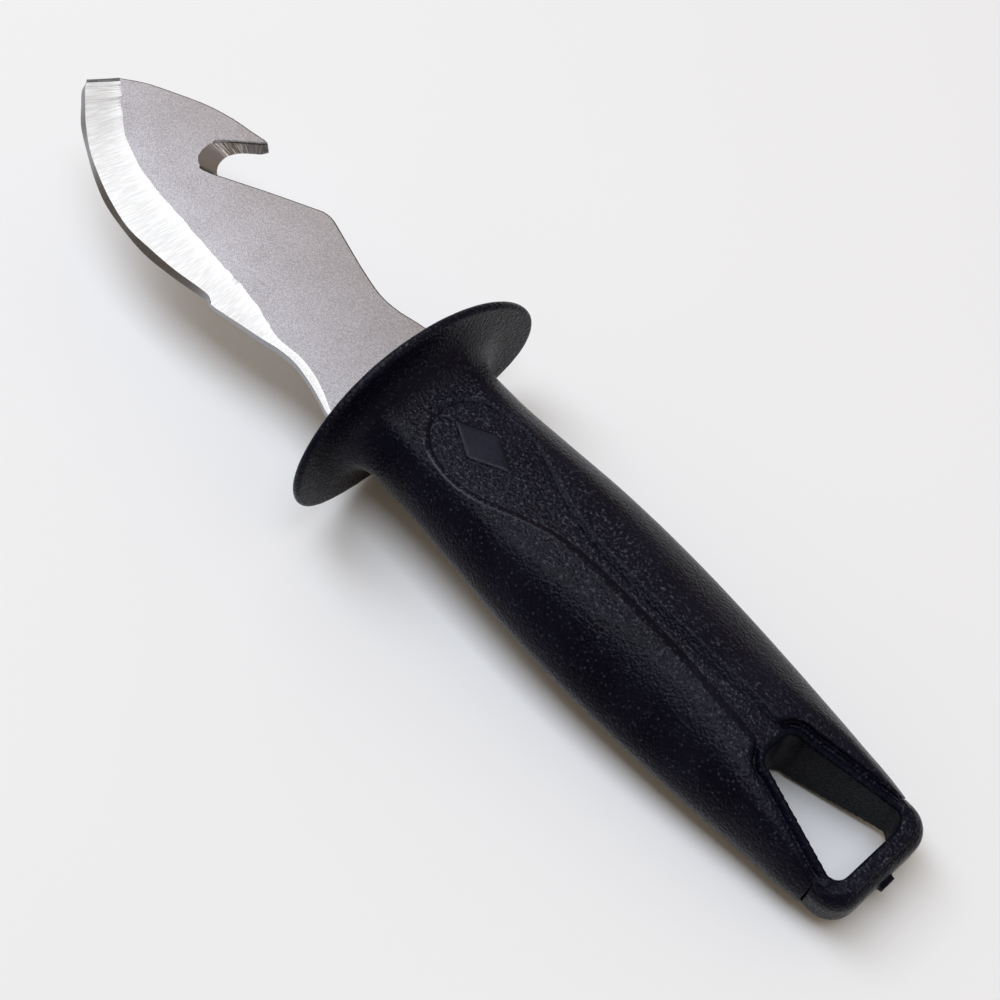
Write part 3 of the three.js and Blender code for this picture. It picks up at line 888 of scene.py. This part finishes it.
def steel(name, tint, roughness, lines, stretch, line_depth, pits, glint, lit=None, painted_root_shade=1):
    """Steel with grinding lines at so many per millimetre, each so many times longer than wide.

    With a stretch of 1 the surface is evenly grained instead. The depths of lines and pits are in
    millimetres, and glint is how far the lines are painted toward a bright highlight colour.
    lit is where along the grinding run, in millimetres, that painted highlight lies, and the root
    factor paints shade on the end by the guard."""
    finish = Finish(name)
    place = finish.object_place()
    if stretch == 1:
        ground = finish.object_place((lines / MM, lines / MM, lines / MM))
    else:
        ground = finish.grind_place((lines, lines / stretch, 1))
    streak = finish.noise(ground, 1.0, 4.0, 0.65)
    cloud = finish.noise(place, 130.0, 3.0)
    grain = finish.noise(place, 2600.0, 2.0, 0.6)
    dark = tuple(c * 0.95 for c in tint) + (1,)
    colour = finish.blend(finish.remap(cloud, 0.35, 0.65), dark, (*tint, 1))
    # Painted shade: the flat is darkened toward its root by the guard.
    if painted_root_shade < 1:
        root = tuple(c * painted_root_shade for c in tint) + (1,)
        colour = finish.blend(finish.remap(finish.part_of("X", place), *PAINTED_ROOT_SHADE_FADE), root, colour)
    # Painted highlight: the grinding lines are blended toward a bright colour where they glint, on the notch
    # only along the lit stretch of its run.
    share = finish.remap(streak, 0.47, 0.58, 0, glint)
    if lit:
        run = finish.part_of("X", finish.grind_run())
        rise = finish.remap(run, lit[0], lit[0] + GLINT_RISE)
        fall = finish.remap(run, lit[1], lit[1] + GLINT_FALL, 1, GLINT_REST)
        share = finish.math("MULTIPLY", share, finish.math("MULTIPLY", rise, fall))
    colour = finish.blend(share, colour, PAINTED_GLINT_COLOUR)
    rough = finish.math("ADD", finish.remap(streak, 0.3, 0.7, -0.05, 0.05), roughness)
    rough = finish.math("ADD", finish.remap(cloud, 0.3, 0.7, -0.008, 0.008), rough)
    normal = finish.bump(streak, line_depth * MM)
    normal = finish.bump(grain, pits * MM, onto=normal)
    finish.set(Base_Color=colour, Metallic=1.0, Roughness=rough, Normal=normal)
    return finish.material


# Painted highlight: the colour of the pale flecks that stand in for the grain's sparkle.
PAINTED_SPARKLE_COLOUR = (0.032, 0.033, 0.044, 1)
# Painted highlight: the colour of the sparkle painted on level faces.
PAINTED_LEVEL_SPARKLE_COLOUR = (0.050, 0.051, 0.068, 1)
FACING_UP = (0.945, 0.985)  # upward part of the normal at which the painted sparkle on level faces sets in and is full
SWELL_DEPTH = 0.07  # millimetres
# Mouldings grained less deeply than these, in millimetres, have weaker painted sparkle flecks and painted
# level sparkle.
FULL_SPARKLE_GRAIN = 1 / 8
FULL_LEVEL_SPARKLE_GRAIN = 1 / 10


def moulded(name, tint, roughness, grain_depth, specular):
    """Near-black moulding with a pebbled spark-eroded grain, pale flecks painted as grain sparkle
    highlights, a painted sparkle on level faces and a soft unevenness.
    """
    finish = Finish(name)
    place = finish.object_place()
    pebble = finish.node("TexVoronoi", "Distance", {"feature": "SMOOTH_F1"}, Vector=place, Scale=2100.0)
    fleck = finish.node("TexVoronoi", "Distance", Vector=place, Scale=1300.0)
    grit = finish.noise(place, 2300.0, 3.0, 0.6)
    swell = finish.noise(place, 260.0, 2.0)
    patch = finish.noise(place, 90.0, 2.0)
    lift = tuple(c * 1.9 + 0.001 for c in tint) + (1,)
    colour = finish.blend(finish.remap(patch, 0.35, 0.7), (*tint, 1), lift)
    # Painted highlight: pale flecks where the grain would sparkle, which are also a little smoother.
    painted_sparkle = finish.math("MULTIPLY", finish.remap(fleck, 0.12, 0.38, 1, 0), finish.remap(grit, 0.46, 0.58))
    painted_sparkle = finish.math("MULTIPLY", painted_sparkle, min(grain_depth / FULL_SPARKLE_GRAIN, 1.0))
    colour = finish.blend(painted_sparkle, colour, PAINTED_SPARKLE_COLOUR)
    # Level faces get a denser pale speckle, painted as sparkle highlights.
    up = finish.math("ABSOLUTE", finish.part_of("Z", finish.node("NewGeometry", "Normal")), 0)
    painted_level_sparkle = finish.remap(finish.noise(place, 1900.0, 2.0, 0.6), 0.57, 0.67)
    painted_level_sparkle = finish.math("MULTIPLY", painted_level_sparkle, finish.remap(up, *FACING_UP))
    painted_level_sparkle = finish.math("MULTIPLY", painted_level_sparkle, min(grain_depth / FULL_LEVEL_SPARKLE_GRAIN, 1.0))
    colour = finish.blend(painted_level_sparkle, colour, PAINTED_LEVEL_SPARKLE_COLOUR)
    rough = finish.math("ADD", finish.remap(grit, 0.35, 0.65, -0.09, 0.12), roughness)
    rough = finish.math("ADD", finish.remap(patch, 0.3, 0.7, -0.03, 0.03), rough)
    rough = finish.math("SUBTRACT", rough, finish.math("MULTIPLY", painted_sparkle, 0.12))
    rising = finish.math("ADD", pebble, finish.remap(grit, 0.3, 0.8, 0, 0.5))
    normal = finish.bump(swell, SWELL_DEPTH * MM, 0.6)
    normal = finish.bump(rising, grain_depth * MM, onto=normal)
    finish.set(Base_Color=colour, Roughness=rough, Specular_IOR_Level=specular, Normal=normal)
    return finish.material


def tabletop():
    finish = Finish("tabletop")
    place = finish.object_place()
    cloud = finish.noise(place, 9.0, 2.0)
    fibre = finish.noise(place, 900.0, 3.0, 0.6)
    colour = finish.blend(cloud, (0.890, 0.905, 0.885, 1), (0.915, 0.930, 0.910, 1))
    finish.set(Base_Color=colour, Roughness=0.7, Normal=finish.bump(fibre, 0.02 * MM, 0.5))
    return finish.material


# ---- the knife ---------------------------------------------------------------------------------------


# In the order of FLAT, GROUND, EDGE, NOTCH and the finish of the stamped edges, which is painted near black
# as shade.
BLADE_FINISHES = [
    # The flat's root factor paints shade beside the guard.
    dict(name="blade_flat", tint=(0.585, 0.590, 0.635), roughness=0.27, lines=3.2, stretch=1,
         line_depth=0.0003, pits=0.0009, glint=0.03, painted_root_shade=0.80),
    dict(name="blade_ground", tint=(0.294, 0.281, 0.252), roughness=0.31, lines=5.0, stretch=14,
         line_depth=0.008, pits=0.001, glint=0.14),
    dict(name="blade_edge", tint=(0.32, 0.32, 0.335), roughness=0.30, lines=9.0, stretch=12,
         line_depth=0.001, pits=0.001, glint=0.0),
    # The notch's bright band along its run is a painted highlight.
    dict(name="blade_notch", tint=(0.29, 0.28, 0.295), roughness=0.32, lines=2.6, stretch=10,
         line_depth=0.03, pits=0.002, glint=1.0, lit=(9.0, 14.5)),
    # Painted shade: the stamped edges and the tip of the wide bevel are painted near black.
    dict(name="blade_painted_edge_shade", tint=(0.07, 0.065, 0.06), roughness=0.45, lines=3.0, stretch=2,
         line_depth=0.004, pits=0.002, glint=0.1),
]
GRAINED = dict(tint=(0.0020, 0.0021, 0.006), roughness=0.23, grain_depth=0.12, specular=0.088)
# In the order that core_finish_of and grip_finish_of pick from.
CORE_FINISHES = [
    dict(name="core_black", **GRAINED),
    dict(name="core_relief", tint=(0.006, 0.007, 0.013), roughness=0.33, grain_depth=0.004, specular=0.13),
    # Painted shade: darker on the hole's walls, its rim and the stub.
    dict(name="core_bore_painted_shade", tint=(0.0008, 0.001, 0.004), roughness=0.45, grain_depth=0.05, specular=0.05),
]
GRIP_FINISHES = [
    dict(name="grip_black", **GRAINED),
    # Painted highlight: the bead's strip by the teardrop, where light catches its edge.
    dict(name="grip_painted_bead_highlight", tint=(0.022, 0.023, 0.031), roughness=0.30, grain_depth=0.08, specular=0.15),
]


def build_knife():
    blade = blade_mesh()
    for finish in BLADE_FINISHES:
        blade.materials.append(steel(**finish))
    add_piece("blade_steel_body", blade, "blade")

    grid = HandleGrid()
    core_solid, core_shown = core_field(grid)
    core = net_mesh("core_moulding", core_shown, grid, CORE_FINISHES, core_finish_of)
    add_piece("handle_core_body", core, "handle_core")
    grip = net_mesh("grip_moulding", grip_field(grid, core_solid), grid, GRIP_FINISHES, grip_finish_of)
    add_piece("grip_guard_body", grip, "grip_with_guard")


# ---- table, light and camera -------------------------------------------------------------------------

VIEW_TILT = math.radians(6.3)  # how far the camera's upright leans from z toward the blade
# The camera's place and aim are millimetres on the axes of a knife 1 / LENGTH_SCALE times as long.
LENGTH_SCALE = 0.972
CAMERA_AT = Vector((-117.12, 110.21, 260.53)) * LENGTH_SCALE
CAMERA_AIM = Vector((-24.18, 0.99, 0)) * LENGTH_SCALE
CAMERA_UP = Vector((math.sin(VIEW_TILT), 0, math.cos(VIEW_TILT)))
SENSOR = 36
FOCAL = 1.8417 * SENSOR
CLIP = (0.01, 10)

TABLE_REACH = 4  # metres
ROOM_COLOUR = (1.0, 0.82, 0.65, 1)
# The room is darker toward the side of the cutting edge: how far toward it, and how bright there.
ROOM_TOWARD = (-0.6, 0.7)
ROOM_BRIGHTNESS = (0.52, 0.24)
OVERHEAD = dict(
    direction=(0.30, 0.02, 0.95), distance=1.1, width=0.50, height=1.7, power=10.7, tint=(0.93, 1.0, 1.15)
)


def knife_turn():
    return TO_ROW.to_3x3().normalized()


def look(at, aim, up):
    """The rotation that looks from one point to another, both in the row frame."""
    back = (at - aim).normalized()
    right = up.cross(back).normalized()
    return Matrix((right, back.cross(right), back)).transposed()


def add_camera():
    data = bpy.data.cameras.new("camera")
    data.sensor_width = SENSOR
    data.lens = FOCAL
    data.clip_start, data.clip_end = CLIP
    camera = bpy.data.objects.new("camera", data)
    bpy.context.scene.collection.objects.link(camera)
    at, aim = TO_ROW @ CAMERA_AT, TO_ROW @ CAMERA_AIM
    camera.matrix_world = Matrix.Translation(at) @ look(at, aim, knife_turn() @ CAMERA_UP).to_4x4()
    bpy.context.scene.camera = camera


def add_light(name, direction, distance, width, height, power, tint):
    """A rectangular soft light that faces the knife from a direction given on the knife's own axes."""
    data = bpy.data.lights.new(name, "AREA")
    data.shape = "RECTANGLE"
    data.size, data.size_y = width, height
    data.energy = power
    data.color = tint
    light = bpy.data.objects.new(name, data)
    bpy.context.scene.collection.objects.link(light)
    aim = TO_ROW @ Vector((0, 0, 0))
    at = aim + (knife_turn() @ Vector(direction)).normalized() * distance
    light.matrix_world = Matrix.Translation(at) @ look(at, aim, Vector((1, 0, 0))).to_4x4()


def add_table():
    mesh = bpy.data.meshes.new("table")
    corners = [(x * TABLE_REACH, y * TABLE_REACH, 0) for x, y in ((-1, -1), (1, -1), (1, 1), (-1, 1))]
    mesh.from_pydata(corners, [], [range(4)])
    mesh.materials.append(tabletop())
    table = bpy.data.objects.new("table", mesh)
    bpy.context.scene.collection.objects.link(table)


def add_surroundings():
    world = bpy.data.worlds.new("room")
    bpy.context.scene.world = world
    world.use_nodes = True
    nodes, links = world.node_tree.nodes, world.node_tree.links
    backdrop = nodes["Background"]
    backdrop.inputs["Color"].default_value = ROOM_COLOUR
    toward = nodes.new("ShaderNodeVectorMath")
    toward.operation = "DOT_PRODUCT"
    toward.inputs[1].default_value = knife_turn() @ Vector((0, 1, 0))
    fade = nodes.new("ShaderNodeMapRange")
    for socket, value in zip(("From Min", "From Max", "To Min", "To Max"), ROOM_TOWARD + ROOM_BRIGHTNESS):
        fade.inputs[socket].default_value = value
    links.new(nodes.new("ShaderNodeTexCoord").outputs["Generated"], toward.inputs[0])
    links.new(toward.outputs["Value"], fade.inputs["Value"])
    links.new(fade.outputs["Result"], backdrop.inputs["Strength"])
    bpy.context.scene.view_settings.view_transform = "Standard"
    add_light("overhead", **OVERHEAD)


build_knife()
add_table()
add_surroundings()
add_camera()
